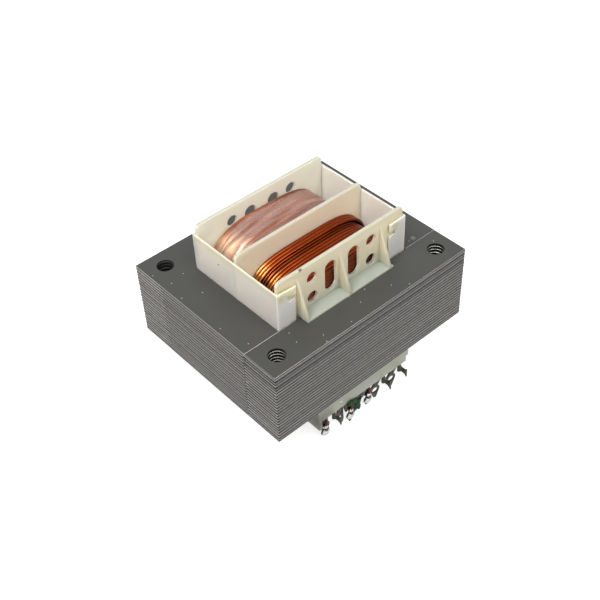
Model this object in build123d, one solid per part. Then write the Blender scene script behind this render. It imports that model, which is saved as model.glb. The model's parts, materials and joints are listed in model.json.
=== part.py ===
from build123d import *
import os
from math import copysign, cos, pi, sin

# Open-frame mains transformer: an EI core, a two-chamber bobbin with its windings, and solder tags.
# X runs along the core, Y from the front to the rear and Z up, in millimetres. The origin is under
# the middle of the core, on the surface that the tag tips stand on.

# Core: stamped E and I sheets, laid in packets that alternate end for end
CORE_LENGTH = 66.0
CORE_WIDTH = 55.0
LIMB = 11.0
CENTRE_LEG = 22.0
SHEET = 0.51
SHEETS_PER_PACKET = 9
PACKETS = 5
BOLT_HOLE = 4.5

# Shrouds: channel-shaped insulating walls between the windings and the core
SHROUD_WALL = 0.5
SHROUD_RISE = 11.0
SHROUD_SIDE_GAP = 0.2
SHROUD_END_GAP = 0.4
SLIDE_GAP = 0.1
LIP_REACH = 5.8
LATCH_REACH = 2.2
LATCH_HEIGHT = 1.5
LATCH_COVER = 2.5

# Bobbin: flanges, the tube round the centre leg, and the ribbed ledges on top of the core
FLANGE = 0.8
FLANGE_RISE = 13.9
FLANGE_CORNER = 1.2
MIDDLE_FLANGE = 0.8
MIDDLE_RISE = 13.1
TUBE_WALL = 0.8
TUBE_GAP = 0.25
LEDGE = 0.6
LEDGE_REACH = 3.9
LEDGE_INSET = 1.6
RIB = 0.7
RIB_DROP = 2.1

# Openings in the end flanges: holes and slots above the core, lead-out notches below it,
# with heights measured from the core's face
LEAD_HOLE = 3.3
LEAD_HOLE_X = 10.0
LOW_HOLE_RISE = 3.0
HIGH_HOLE_RISE = 9.2
SLOT_WIDTH = 3.8
SLOT_X = 3.9
SLOT_FOOT = 1.6
SLOT_HEAD = 10.8
NOTCH_WIDTH = 3.3
NOTCH_HEAD = 1.7

# Terminal blocks under the core, with depths measured down from the core's face
BLOCK_REACH = 8.6
BLOCK_DEPTH = 9.4
BLOCK_MARGIN = 1.15
SHELF = 1.2
RAIL = 2.9
RAIL_STEP = 0.8
CHEEK = 1.0
LEFT_CHEEK_DEPTH = 12.5
RIGHT_CHEEK_DEPTH = 7.4

# Solder tags: stamped strip with an eyelet leg and a waisted fork leg bent outwards
TAGS = 5
REAR_TAGS = (1, 5)
LEG_PITCH = 3.1
TAG_SHEET = 0.5
TAG_COVER = 0.6
TAG_DROP = 6.8
TAG_GRIP = 4.8
TAG_GAP = 0.05
BRIDGE = 3.0
NECK = 1.8
EYE_WIDTH = 3.0
EYE_HEIGHT = 2.9
EYE_CHEEK = 0.8
EYE_SHOULDER = 1.7
EYE_PLAY = 0.9
TIP_WIDTH = 0.8
STEM = 0.6
FORK_DROP = 0.15
FORK_HEIGHT = 3.2
FORK_ROOT = 0.2
FORK_LENGTH = 2.6
FORK_WAIST = 1.3

# Windings, with heights measured from the core's face
WIRE = 1.0
TURNS = 14
RAISED_TURNS = 5
GROOVE = 0.25
WINDING_GAP = 0.1
WINDING_INSET = 1.0
SECONDARY_RISE = 7.5
SECONDARY_SQUARENESS = 4.3
SECONDARY_SIDES = 20
PRIMARY_RISE = 9.4
PRIMARY_SQUARENESS = 3.5
PRIMARY_SIDES = 36
FILM = 0.2
FILM_BARE = 1.5

# Leads from the windings to the tags, and the sleeve on one eyelet
PRIMARY_LEAD = 0.6
LEAD_BEND = 1.6
LEAD_GAP = 0.1
LEAD_DROP_Y = 2.7
LEAD_EXIT = 3.0
LEAD_TAIL = 1.5
LEAD_SIDES = 8
SLEEVED_TAG = 3
SLEEVE_LENGTH = 4.2
SLEEVE_WALL = 0.3
SLEEVE_GAP = 0.1

# Heights
packet = SHEET * SHEETS_PER_PACKET
stack = packet * PACKETS
core_bottom = BLOCK_DEPTH + TAG_DROP
core_top = core_bottom + stack
core_mid = core_bottom + stack / 2
block_bottom = core_bottom - BLOCK_DEPTH

# Places across the core
window_length = CORE_WIDTH - 2 * LIMB
window_width = (CORE_LENGTH - CENTRE_LEG) / 2 - LIMB
window_x = CENTRE_LEG / 2 + window_width / 2
bolt_x = (CORE_LENGTH - LIMB) / 2
bolt_y = (CORE_WIDTH - LIMB) / 2
shroud_x = CORE_LENGTH / 2 - LIMB - SHROUD_SIDE_GAP
shroud_y = window_length / 2 - SHROUD_END_GAP
lip_x = shroud_x - LIP_REACH
flange_x = shroud_x - SHROUD_WALL - SLIDE_GAP
flange_y = shroud_y - SHROUD_WALL - SLIDE_GAP
ledge_x = lip_x - LEDGE_INSET
bore_x = CENTRE_LEG + 2 * TUBE_GAP
bore_z = stack + 2 * TUBE_GAP
tube_x = bore_x + 2 * TUBE_WALL
tube_z = bore_z + 2 * TUBE_WALL

# Places in the terminal block and on the tags, drawn for the front of the core
block_y = flange_y + BLOCK_REACH
block_x = (2 * TAGS - 1) * LEG_PITCH / 2 + EYE_WIDTH / 2 + BLOCK_MARGIN
tag_front = block_y - TAG_COVER
tag_back = tag_front - TAG_SHEET
tag_top = block_bottom + TAG_GRIP
eye_hole = WIRE + EYE_PLAY
fork_root = tag_front + FORK_ROOT
fork_waist = fork_root + FORK_LENGTH / 2
fork_mid = block_bottom - FORK_DROP - FORK_HEIGHT / 2

# The ends of the winding chambers
chamber_outer = flange_y - FLANGE - WINDING_GAP
chamber_inner = MIDDLE_FLANGE / 2 + WINDING_GAP
lead_y = flange_y + LEAD_DROP_Y


def eye_place(number):
    """X of the eyelet leg of a tag at the front, numbered from the left."""
    return ((number - 1) * 2 - TAGS + 0.5) * LEG_PITCH


def fork_place(number):
    """X of the fork leg of the same tag."""
    return eye_place(number) + LEG_PITCH


def block(x, y, z):
    """Box between two limits in each direction."""
    size = Box(x[1] - x[0], y[1] - y[0], z[1] - z[0], align=Align.MIN)
    return Pos(x[0], y[0], z[0]) * size


def span(x, z):
    """Rectangle between two limits in each direction."""
    return Pos(x[0], z[0]) * Rectangle(x[1] - x[0], z[1] - z[0], align=Align.MIN)


def along_y(outline, y_front, y_rear, height=core_mid):
    """Extrude an outline drawn in X and Z about the given height, from y_front to y_rear."""
    plane = Plane((0, y_rear, height), x_dir=(1, 0, 0), z_dir=(0, -1, 0))
    return extrude(plane * outline, y_rear - y_front)


def along_x(outline, x_low, x_high):
    """Extrude an outline drawn in Y and Z, from x_low to x_high."""
    return extrude(Plane.YZ.offset(x_low) * outline, x_high - x_low)


def at_rear(shape):
    """The same piece at the rear of the core: the front one, turned half round."""
    return Rot(0, 0, 180) * shape


# Laminations
def e_outline(side):
    """E sheet: a yoke at the rear (side 1) or front (side -1), and three limbs."""
    outline = Pos(0, side * LIMB / 2) * Rectangle(CORE_LENGTH, CORE_WIDTH - LIMB)
    for x in (-window_x, window_x):
        outline -= Pos(x, 0) * Rectangle(window_width, window_length)
    return outline - bolt_holes(side)


def i_outline(side):
    """I sheet: the strip that closes the windows at one end."""
    return Pos(0, side * bolt_y) * Rectangle(CORE_LENGTH, LIMB) - bolt_holes(side)


def bolt_holes(side):
    """The pair of bolt holes at one end of the core."""
    return [Pos(x, side * bolt_y) * Circle(BOLT_HOLE / 2) for x in (-bolt_x, bolt_x)]


def packets(outline, first):
    """Every second packet of the stack, counted up from the first."""
    return Compound(children=[
        Pos(0, 0, core_bottom + number * packet) * extrude(outline, packet)
        for number in range(first, PACKETS, 2)
    ])


# Bobbin
def end_flange_openings(y_front, y_rear):
    """Round holes and slots that show the windings, and open notches at the foot for the leads."""
    slot_length = SLOT_HEAD - SLOT_FOOT
    slot_mid = stack / 2 + (SLOT_HEAD + SLOT_FOOT) / 2
    notch_height = FLANGE_RISE - NOTCH_HEAD
    notch_mid = -stack / 2 - (FLANGE_RISE + NOTCH_HEAD) / 2
    cuts = []
    for side in (-1, 1):
        for height in (stack / 2 + HIGH_HOLE_RISE, stack / 2 + LOW_HOLE_RISE):
            cuts.append(Pos(side * LEAD_HOLE_X, height) * Circle(LEAD_HOLE / 2))
        cuts.append(Pos(side * SLOT_X, slot_mid) * SlotOverall(slot_length, SLOT_WIDTH, rotation=90))
        for x in (LEAD_HOLE_X, SLOT_X):
            cuts.append(Pos(side * x, notch_mid) * Rectangle(NOTCH_WIDTH, notch_height))
    return [along_y(cut, y_front, y_rear) for cut in cuts]


def ribbed_ledge():
    """Ledge that lies on top of the core at the front, with three triangular ribs up to the flange."""
    ledge_y = flange_y + LEDGE_REACH
    ledge = block((-ledge_x, ledge_x), (-ledge_y, -flange_y), (core_top, core_top + LEDGE))
    rib_outline = Polygon(
        (-flange_y, core_top), (-ledge_y, core_top), (-ledge_y, core_top + LEDGE),
        (-flange_y, core_top + FLANGE_RISE - RIB_DROP), align=None)
    for x in (-ledge_x, -RIB / 2, ledge_x - RIB):
        ledge += along_x(rib_outline, x, x + RIB)
    return ledge


def terminal_block():
    """Shelf under the core, with the slotted rail that grips the tags, and an end cheek at each side."""
    neck_x = lip_x - SLIDE_GAP
    neck_y = shroud_y + SLIDE_GAP
    shelf = block((-neck_x, neck_x), (-neck_y, -flange_y), (core_bottom - SHELF, core_bottom))
    shelf += block((-block_x, block_x), (-block_y, -neck_y), (core_bottom - SHELF, core_bottom))
    shelf += block((-block_x, block_x - RAIL_STEP), (-block_y, RAIL - block_y), (block_bottom, core_bottom))
    for x, depth in ((-block_x, LEFT_CHEEK_DEPTH), (block_x - CHEEK, RIGHT_CHEEK_DEPTH)):
        shelf += block((x, x + CHEEK), (-block_y, -neck_y), (core_bottom - depth, core_bottom))
    for number in range(1, TAGS + 1):
        shelf -= block(
            (eye_place(number) - NECK / 2 - TAG_GAP, fork_place(number) + TAG_SHEET / 2 + TAG_GAP),
            (-tag_front - TAG_GAP, -tag_back + TAG_GAP), (block_bottom, tag_top))
    return shelf


def flange_outline(rise):
    """Flange that stands out from the core by its rise, with round corners at the top."""
    outline = Rectangle(2 * flange_x, stack + 2 * rise)
    return fillet(outline.vertices().sort_by(Axis.Y)[-2:], FLANGE_CORNER)


def bobbin():
    """One moulding: tube, three flanges, two ribbed ledges and two terminal blocks."""
    body = along_y(Rectangle(tube_x, tube_z), -flange_y, flange_y)
    body += along_y(flange_outline(MIDDLE_RISE), -MIDDLE_FLANGE / 2, MIDDLE_FLANGE / 2)
    end_flange = along_y(flange_outline(FLANGE_RISE), -flange_y, FLANGE - flange_y)
    end_flange -= end_flange_openings(-flange_y, FLANGE - flange_y)
    front_end = end_flange + ribbed_ledge() + terminal_block()
    body += [front_end, at_rear(front_end)]
    return body - along_y(Rectangle(bore_x, bore_z), -flange_y, flange_y)


# Shrouds
def shroud(side):
    """Channel round one side of the windings: a wall and two lips, each lip notched near both ends."""
    bottom = core_bottom - SHROUD_RISE
    top = core_top + SHROUD_RISE
    wall = block((shroud_x - SHROUD_WALL, shroud_x), (-shroud_y, shroud_y), (bottom, top))
    for y in (-shroud_y, shroud_y - SHROUD_WALL):
        wall += block((lip_x, shroud_x), (y, y + SHROUD_WALL), (bottom, top))
    for z in (bottom + LATCH_COVER, top - LATCH_COVER - LATCH_HEIGHT):
        wall -= block((lip_x, lip_x + LATCH_REACH), (-shroud_y, shroud_y), (z, z + LATCH_HEIGHT))
    return wall if side > 0 else at_rear(wall)


# Windings
def winding_points(half_width, half_height, squareness, sides):
    """Outline of wire wound on a square former: a rectangle with swollen sides and round corners."""
    points = []
    for step in range(sides):
        angle = 2 * pi * (step + 0.5) / sides
        across = copysign(abs(cos(angle)) ** (2 / squareness), cos(angle))
        up = copysign(abs(sin(angle)) ** (2 / squareness), sin(angle))
        points.append((half_width * across, half_height * up))
    return points


def former(y_front, y_rear):
    """The space that the bobbin's tube takes up inside a winding."""
    outline = Rectangle(tube_x + 2 * WINDING_GAP, tube_z + 2 * WINDING_GAP)
    return along_y(outline, y_front, y_rear)


def secondary_winding():
    """Thick wire: one ridge for each turn, with the rear turns one layer higher than the others."""
    half_width = flange_x - WINDING_INSET
    half_height = stack / 2 + SECONDARY_RISE
    pitch = (chamber_outer - chamber_inner) / TURNS
    drops = [0 if turn < RAISED_TURNS else WIRE for turn in range(TURNS)]
    stations = [(chamber_inner, drops[0] + GROOVE)]
    for turn, drop in enumerate(drops):
        start = chamber_inner + turn * pitch
        next_drop = drops[min(turn + 1, TURNS - 1)]
        stations.append((start + pitch / 2, drop))
        stations.append((start + pitch, max(drop, next_drop) + GROOVE))
    sections = []
    for y, drop in stations:
        points = winding_points(half_width - drop, half_height - drop, SECONDARY_SQUARENESS, SECONDARY_SIDES)
        sections.append(Wire.make_polygon([(x, -y, core_mid + z) for x, z in points]))
    return Solid.make_loft(sections, ruled=True) - former(-chamber_outer, -chamber_inner)


def primary_outline(margin):
    """Outline of the fine-wire winding, grown by a margin."""
    half_width = flange_x - WINDING_INSET - FILM + margin
    half_height = stack / 2 + PRIMARY_RISE - FILM + margin
    points = winding_points(half_width, half_height, PRIMARY_SQUARENESS, PRIMARY_SIDES)
    return Polygon(*points, align=None)


def primary_winding():
    """Fine wire, wound smooth."""
    wound = along_y(primary_outline(0), chamber_inner, chamber_outer)
    return wound - former(chamber_inner, chamber_outer)


def primary_film():
    """Clear film wrapped round the primary, which leaves its last turns bare at the rear."""
    ring = primary_outline(FILM) - primary_outline(0)
    return along_y(ring, chamber_inner, chamber_outer - FILM_BARE)


# Tags
def tag(number):
    """One front tag: a bridge gripped by the rail, an eyelet leg, and a fork leg bent outwards."""
    eye_x = eye_place(number)
    fork_x = fork_place(number)
    fork_foot = fork_mid - FORK_HEIGHT / 2
    low = (eye_x - NECK / 2, fork_x + TAG_SHEET / 2 - STEM)
    high = (eye_x + NECK / 2, fork_x + TAG_SHEET / 2)
    shoulder = EYE_HEIGHT + EYE_SHOULDER
    face = span((low[0], high[1]), (tag_top - BRIDGE, tag_top))
    face += [span((low[0], high[0]), (shoulder, tag_top)), span((low[1], high[1]), (fork_foot, tag_top))]
    half = [(TIP_WIDTH / 2, 0), (EYE_WIDTH / 2, EYE_HEIGHT), (EYE_WIDTH / 2, EYE_HEIGHT + EYE_CHEEK),
            (NECK / 2, shoulder)]
    other_half = [(-x, z) for x, z in reversed(half)]
    face += Pos(eye_x, 0) * Polygon(*half, *other_half, align=None)
    face -= Pos(eye_x, EYE_HEIGHT) * Circle(eye_hole / 2)
    plate = along_y(face, -tag_front, -tag_back, height=0)
    return plate + along_x(fork_outline(), fork_x - TAG_SHEET / 2, fork_x + TAG_SHEET / 2)


def fork_outline():
    """Side view of the fork: a strip that narrows to a waist, where a lead is hooked, and flares again."""
    top = fork_mid + FORK_HEIGHT / 2
    foot = fork_mid - FORK_HEIGHT / 2
    end = fork_root + FORK_LENGTH
    edge = Polyline((-fork_root, foot), (-tag_back, foot), (-tag_back, top), (-fork_root, top))
    edge += ThreePointArc((-fork_root, top), (-fork_waist, fork_mid + FORK_WAIST / 2), (-end, top))
    edge += Line((-end, top), (-end, foot))
    edge += ThreePointArc((-end, foot), (-fork_waist, fork_mid - FORK_WAIST / 2), (-fork_root, foot))
    return make_face(edge)


# Leads
def eased(corners):
    """The corners of a path, each inner one cut off so that it becomes two gentler bends."""
    path = corners[:1]
    for before, corner, after in zip(corners, corners[1:], corners[2:]):
        path.append(corner + (before - corner).normalized() * LEAD_BEND)
        path.append(corner + (after - corner).normalized() * LEAD_BEND)
    return path + corners[-1:]


def lead(exit_x, end_x, end_y, end_z, diameter):
    """Lead that leaves the winding by a notch in the flange, drops behind the rail and runs out to a tag."""
    exit_z = core_bottom - LEAD_EXIT
    corners = [
        Vector(exit_x, -chamber_outer, exit_z), Vector(exit_x, -lead_y, exit_z),
        Vector(end_x, -lead_y, end_z), Vector(end_x, -end_y, end_z)]
    path = Polyline(*eased(corners))
    section = Plane(origin=path @ 0, z_dir=path % 0) * RegularPolygon(diameter / 2, LEAD_SIDES)
    return sweep(section, path=path, transition=Transition.RIGHT)


def eye_lead(exit_x, number, diameter):
    """Lead that ends in a tag's eye."""
    return lead(exit_x, eye_place(number), tag_front + LEAD_TAIL, EYE_HEIGHT, diameter)


def fork_lead(exit_x, number):
    """Lead that ends beside the waist of a tag's fork."""
    beside = fork_place(number) + TAG_SHEET / 2 + LEAD_GAP + WIRE / 2
    return lead(exit_x, beside, fork_waist + WIRE / 2, fork_mid, WIRE)


def sleeve():
    """Flattened insulating tube over one eyelet."""
    inner_width = EYE_WIDTH + 2 * SLEEVE_GAP
    inner_depth = TAG_SHEET + 2 * SLEEVE_GAP
    outline = SlotOverall(inner_width + 2 * SLEEVE_WALL, inner_depth + 2 * SLEEVE_WALL)
    outline -= Rectangle(inner_width, inner_depth)
    middle = Pos(eye_place(SLEEVED_TAG), -(tag_front + tag_back) / 2, EYE_HEIGHT + EYE_WIDTH / 2 - SLEEVE_LENGTH)
    return middle * extrude(outline, SLEEVE_LENGTH)


nodes = {
    "e_laminations_rear_yoke": packets(e_outline(1), 0),
    "e_laminations_front_yoke": packets(e_outline(-1), 1),
    "i_laminations_front": packets(i_outline(-1), 0),
    "i_laminations_rear": packets(i_outline(1), 1),
    "bobbin": bobbin(),
    "left_shroud": shroud(-1),
    "right_shroud": shroud(1),
    "secondary_winding": secondary_winding(),
    "primary_winding": primary_winding(),
    "primary_film": primary_film(),
    "secondary_lead_1": eye_lead(-LEAD_HOLE_X, 1, WIRE),
    "secondary_lead_2": fork_lead(-SLOT_X, 2),
    "secondary_lead_3": fork_lead(SLOT_X, 3),
    "primary_lead_1": at_rear(eye_lead(-LEAD_HOLE_X, 1, PRIMARY_LEAD)),
    "primary_lead_2": at_rear(eye_lead(LEAD_HOLE_X, TAGS, PRIMARY_LEAD)),
    "green_sleeve": sleeve(),
}
for number in range(1, TAGS + 1):
    nodes[f"front_tag_{number}"] = tag(number)
for number in REAR_TAGS:
    nodes[f"rear_tag_{number}"] = at_rear(tag(number))

os.makedirs("parts", exist_ok=True)
for name, shape in nodes.items():
    export_step(shape, f"parts/{name}.step")
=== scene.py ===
import json
import math
import random

import bmesh
import bpy
from bpy.props import FloatProperty, FloatVectorProperty, IntProperty, PointerProperty
from mathutils import Matrix, Vector, noise


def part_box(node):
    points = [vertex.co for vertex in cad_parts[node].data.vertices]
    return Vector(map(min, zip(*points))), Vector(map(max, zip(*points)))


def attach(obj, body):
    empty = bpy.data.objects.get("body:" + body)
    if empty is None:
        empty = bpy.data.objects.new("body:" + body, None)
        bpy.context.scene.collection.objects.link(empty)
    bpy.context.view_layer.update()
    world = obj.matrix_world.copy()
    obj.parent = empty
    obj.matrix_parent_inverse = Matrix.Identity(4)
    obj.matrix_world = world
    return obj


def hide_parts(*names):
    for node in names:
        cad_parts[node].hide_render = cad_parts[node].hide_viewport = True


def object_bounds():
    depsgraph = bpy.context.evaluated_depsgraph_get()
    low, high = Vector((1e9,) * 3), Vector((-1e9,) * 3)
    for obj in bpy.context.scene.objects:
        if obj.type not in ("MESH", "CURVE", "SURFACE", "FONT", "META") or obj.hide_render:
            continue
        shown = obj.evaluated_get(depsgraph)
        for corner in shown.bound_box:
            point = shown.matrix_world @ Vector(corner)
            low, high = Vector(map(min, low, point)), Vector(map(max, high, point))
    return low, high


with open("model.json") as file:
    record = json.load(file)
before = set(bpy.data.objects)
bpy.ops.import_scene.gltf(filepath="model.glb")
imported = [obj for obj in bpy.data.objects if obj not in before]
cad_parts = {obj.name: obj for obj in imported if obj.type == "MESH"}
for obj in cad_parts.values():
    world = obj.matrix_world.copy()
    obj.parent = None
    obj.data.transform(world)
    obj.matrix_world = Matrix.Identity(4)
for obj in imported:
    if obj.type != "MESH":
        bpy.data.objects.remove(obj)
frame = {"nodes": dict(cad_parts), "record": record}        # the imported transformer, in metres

bl_info = {
    "name": "Mains transformer",
    "version": (1, 0, 0),
    "blender": (4, 5, 0),
    "location": "View3D > Sidebar > Transformer",
    "description": "Dresses an open-frame mains transformer: core sheets, bobbin, windings and solder tags",
    "category": "Object",
}

MM = 0.001
CAD_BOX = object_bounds()

# Places taken from the solids
CORE_LOW, CORE_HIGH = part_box("e_laminations_rear_yoke")
I_LOW, I_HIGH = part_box("i_laminations_front")
BOBBIN_LOW, BOBBIN_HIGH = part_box("bobbin")
SHROUD_LOW, SHROUD_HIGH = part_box("right_shroud")
SECONDARY_LOW, SECONDARY_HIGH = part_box("secondary_winding")
PRIMARY_LOW, PRIMARY_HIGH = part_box("primary_winding")
FILM_LOW, FILM_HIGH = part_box("primary_film")
SLEEVE_LOW, SLEEVE_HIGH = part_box("green_sleeve")
BOLTS = next(m["dims"] for m in frame["record"]["mounts"] if m["name"] == "core_bolts")

CORE_TOP = CORE_HIGH.z
CORE_BOTTOM = CORE_LOW.z
CORE_MIDDLE = (CORE_TOP + CORE_BOTTOM) / 2
LIMB = I_HIGH.y - I_LOW.y
BACK = CORE_HIGH.y
WINDOW_END = BACK - LIMB
BOLT_X = BOLTS["spacing_x_mm"] * MM / 2
BOLT_Y = BOLTS["spacing_y_mm"] * MM / 2
BOLT_RADIUS = BOLTS["hole_r_mm"] * MM

# The tongue of each shroud's front lip above its notch, and how far its free end has sprung out
LATCH_COVER = 2.5 * MM
LIP_FLARE = {"left": 0.5 * MM, "right": 0.2 * MM}

# Outer faces of the end flanges, from the middle
FLANGE_FACE = -SECONDARY_LOW.y + 0.9 * MM

# Places at the front where flux has yellowed the nylon
STAINS = tuple((x * MM, SHROUD_LOW.y, SHROUD_HIGH.z - below * MM)
               for x, below in ((-20.2, 1.0), (-17.5, 1.5), (17.0, 1.8)))

# Burnt specks on the tops of the middle and front flanges
BURNS = ((15.4 * MM, 1.4 * MM, BOBBIN_HIGH.z), (17.7 * MM, 0.5 * MM, BOBBIN_HIGH.z),
         (-13.6 * MM, -FLANGE_FACE, BOBBIN_HIGH.z))
# Dusty smudge on the core
SMUDGE = ((26.4 * MM, -14.9 * MM, CORE_TOP),)

# Terminal row: the tags' legs below the rail that grips them
TAG_LOW, TAG_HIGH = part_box("front_tag_1")
TAG_MOUNT = next(m["pos_m"] for m in frame["record"]["mounts"] if m["name"] == "front_tags")
TAG_PLANE = TAG_MOUNT[1]
EYE_HEIGHT = TAG_MOUNT[2]
BLOCK_FRONT = BOBBIN_LOW.y
LEG_PITCH = (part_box("front_tag_2")[0].x - TAG_LOW.x) / 2
TAG_GRIP = 4.8 * MM
NECK_LENGTH = 2.2 * MM
RAIL_BOTTOM = TAG_HIGH.z - TAG_GRIP
FORK_MIDDLE = RAIL_BOTTOM - 1.75 * MM
REAR_TAG_NUMBERS = (1, 5)
SLEEVED_TAG = 3

# End of the terminal block, darkened by painted shade
BLOCK_END_SHADE_AT = ((-16.5 * MM, BLOCK_FRONT, RAIL_BOTTOM),)

# Bends of each front tag: twist of the eyelet in degrees, how far its neck starts to the right in
# millimetres, its lean to the left and the fork's droop, both per unit of length
TAG_BENDS = {1: (0, 0.0, 0.0, 0.0), 2: (55, 0.0, 0.0, 0.0), 3: (0, 0.0, 0.3, 0.0), 4: (-8, 2.0, 0.0, 0.15),
             5: (-8, 2.0, 0.0, 0.0)}
# Forks that are pressed down, so that they hang in front of the rail: their lean to the left and out,
# per unit of length, their width at the root and how much of it they lose per millimetre
HANGING_FORKS = {2: (0.28, 0.2, 1.45, 0.4), 3: (0.0, 0.0, 1.1, 0.22)}
# How far down a hanging fork reaches per unit of its length, and its place from the tag's plane and leg
FORK_FALL = 1.72
HANG_FRONT = 0.35 * MM
HANG_LIFT = 0.3 * MM
# Soldered joints: the tag, its leg (0 the eyelet, 1 the fork), and where the solder lies from the leg in
# millimetres
JOINTS = ((1, 0, -0.4, -0.85), (2, 1, -1.0, -1.35), (3, 1, 0.1, -0.6))
# Drops of each joint: places in millimetres from the leg at the height of its eye, half sizes and taper
SOLDER_DROPS = (((0.0, 0.0, 0.85), (0.7, 0.55, 0.66), 0.0), ((0.0, 0.0, -1.4), (1.25, 0.55, 1.3), 0.3))
FLUX_DROPS = (((0.0, 0.35, -1.25), (1.5, 0.3, 1.45), 0.3), ((0.0, -0.3, -0.1), (0.55, 0.45, 0.4), 0.0))
# Way of each lead end: two places from the same point, and one from the leg at the rail's edge
STRAND_BENDS = ((0.0, 0.0, 0.9), (0.15, -0.05, 2.2))
STRAND_END = (0.4, 0.5, 0.2)
# Charred flux under the rail: the place along it and below its edge, and the half sizes, in millimetres
CHARRED = ((-9.1, 1.7, (0.9, 0.45, 2.0)), (-6.4, 1.8, (1.0, 0.45, 2.1)), (-0.4, 1.3, (0.9, 0.4, 1.5)))
# The slack sleeve on the second lead, bunched in front of the rail: places in millimetres from the
# hanging fork's root, each with the half sizes of a fold
SLACK_SLEEVE = (((-1.3, -1.3, 1.7), (1.0, 0.5, 0.8)), ((0.1, -1.3, 1.2), (1.2, 0.5, 0.9)),
                ((1.4, -1.3, -0.4), (0.9, 0.5, 1.0)), ((2.0, -1.3, -2.2), (0.6, 0.4, 0.9)))
# Splash of solder on the front of the terminal block
SPLASH_X = -8.75 * MM
SPLASH_Z = RAIL_BOTTOM + 2.4 * MM
SPLASH_SIZE = (0.34, 0.16, 0.34)

# Soft lamps: degrees round and above the part, then distance, width and height in metres and watts
LAMPS = {
    "key": (-58, 60, 0.6, 0.36, 0.36, 2.1),
    "fill": (12, 53, 0.7, 0.5, 0.5, 3.2),
    "strip": (-95, 66, 0.6, 0.07, 0.3, 2.4),
}
AMBIENT = 0.3
FLOOR_GLOW = 0.8
FLOOR_HALF = 1.5


def linear(code):
    """Linear colour of an sRGB hex code, with full alpha."""
    shares = [int(code[place:place + 2], 16) / 255 for place in (1, 3, 5)]
    return [s / 12.92 if s <= 0.04045 else ((s + 0.055) / 1.055) ** 2.4 for s in shares] + [1.0]


def colour(name, code, description):
    """Colour property with an sRGB hex code as its default."""
    return FloatVectorProperty(name=name, description=description, subtype="COLOR", size=4,
                               min=0.0, max=1.0, default=linear(code))


def length(name, millimetres, description):
    """Length property with its default in millimetres."""
    return FloatProperty(name=name, description=description, subtype="DISTANCE", unit="LENGTH",
                         default=millimetres * MM, precision=5)


def whole(name, amount, description, least):
    """Property that is a whole number."""
    return IntProperty(name=name, description=description, default=amount, min=least)


def plain(name, value, description, **limits):
    """Property that is a plain number."""
    return FloatProperty(name=name, description=description, default=value, **limits)


def angle(name, degrees, description):
    """Angle property with its default in degrees."""
    return FloatProperty(name=name, description=description, subtype="ANGLE", default=math.radians(degrees))


class CoreSettings(bpy.types.PropertyGroup):
    """Sizes and colours of the stack of sheets."""
    sheet: length("Sheet", 0.51, "Thickness of one stamped sheet with its coat")
    edge_roll: length("Edge roll", 0.06, "Rounding that the punch leaves along a sheet's edges")
    stagger: length("Stagger", 0.025, "How far a sheet may lie out of line with the stack")
    i_recess: length("I recess", 0.07, "How far the I sheets end short of the E sheets")
    i_setback: length("I setback", 0.07, "How far the I sheets lie behind the yokes of the E sheets")
    limb_setback: length("Limb setback", 0.07, "How far every second sheet's limbs lie behind the others")
    joint_gap: length("Joint gap", 0.10, "Gap between an E sheet and its I sheet")
    tip_chamfer: length("Tip chamfer", 0.6, "Corner worn off the tips of all but the outermost sheets")
    sprung_roll: length("Sprung roll", 0.17, "Depth of the open seam over a sheet that has sprung")
    hole_stagger: length("Hole stagger", 0.12, "How far the holes of E and I sheets are out of line")
    hole_steps: whole("Hole steps", 28, "Straight edges round a bolt hole", 8)
    coat: colour("Coat", "#30302D", "Grey oxide and varnish on the sheet's faces")
    edge_light: colour("Light edge", "#878480", "Sheared part of a cut edge")
    edge_dark: colour("Dark edge", "#545150", "Torn part of a cut edge")
    # Painted shade and painted light: dull and dark give shaded copies of the cut edge's colour for edges
    # that lie back and for the I sheets' recessed ends, and bright gives a lit copy for the yoke ends
    dull: plain("Dull edges", 0.12, "Brightness of the cut edges that lie back", min=0.0, max=1.0)
    bright: plain("Yoke ends", 1.4, "Brightness of the cut ends of the E sheets' yokes", min=0.0)
    dark: plain("I ends", 0.04, "Brightness of the cut ends of the I sheets", min=0.0, max=1.0)
    corner: colour("Bare corner", "#A9A79F", "Bare steel along a sheet's top edge")
    hole: colour("Hole wall", "#191918", "Oxide and dust in the bolt holes")
    dust: colour("Dust", "#B2B0A8", "Specks and smudges of dust on the sheets' faces")


class BobbinSettings(bpy.types.PropertyGroup):
    """Sizes and colours of the mouldings."""
    edge_radius: length("Edge radius", 0.22, "Rounding of the bobbin's moulded edges")
    shroud_radius: length("Shroud edge radius", 0.16, "Rounding of the shrouds' thin edges")
    nylon: colour("Nylon", "#E9E8D4", "Natural nylon of the bobbin")
    shroud: colour("Shroud", "#E5DED0", "Natural nylon of the thin shrouds")
    # Painted shade: the handled tone greys the outer faces of the end flanges, which stand in shade
    handled: colour("Handled nylon", "#CFC6AC", "Greyed nylon on the outer faces of the end flanges")
    # Painted reflection: the middle flange's tone is the copper's warm bounce light laid on as colour
    copper_bounce: colour("Tinted nylon", "#DDD3BC", "Middle flange, tinted by the copper on both sides")
    # This tone greys the faces that point up, above the ledges
    rubbed: colour("Rubbed nylon", "#A5A496", "Tops of the flanges, which hands have rubbed")
    # Painted shade: this tone darkens the outer faces low over the core, where shade falls
    shaded: colour("Shaded nylon", "#A6A999", "Thin nylon over the dark core")
    # Painted shade: this tone darkens the faces that point up low over the core, such as the ledges
    painted_ledge_shade: colour("Ledge", "#8C9086", "Thin ledges that lie on the dark core and show it through")
    # Painted shade: this tone darkens the left end of the terminal block
    painted_block_end_shade: colour("Grime", "#625E4E", "Flux smoke on the end of the terminal block")
    yellowing: colour("Yellowing", "#C9C078", "Nylon that flux has yellowed")
    speck: colour("Speck", "#5B4A3A", "Burnt specks in the nylon")


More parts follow.
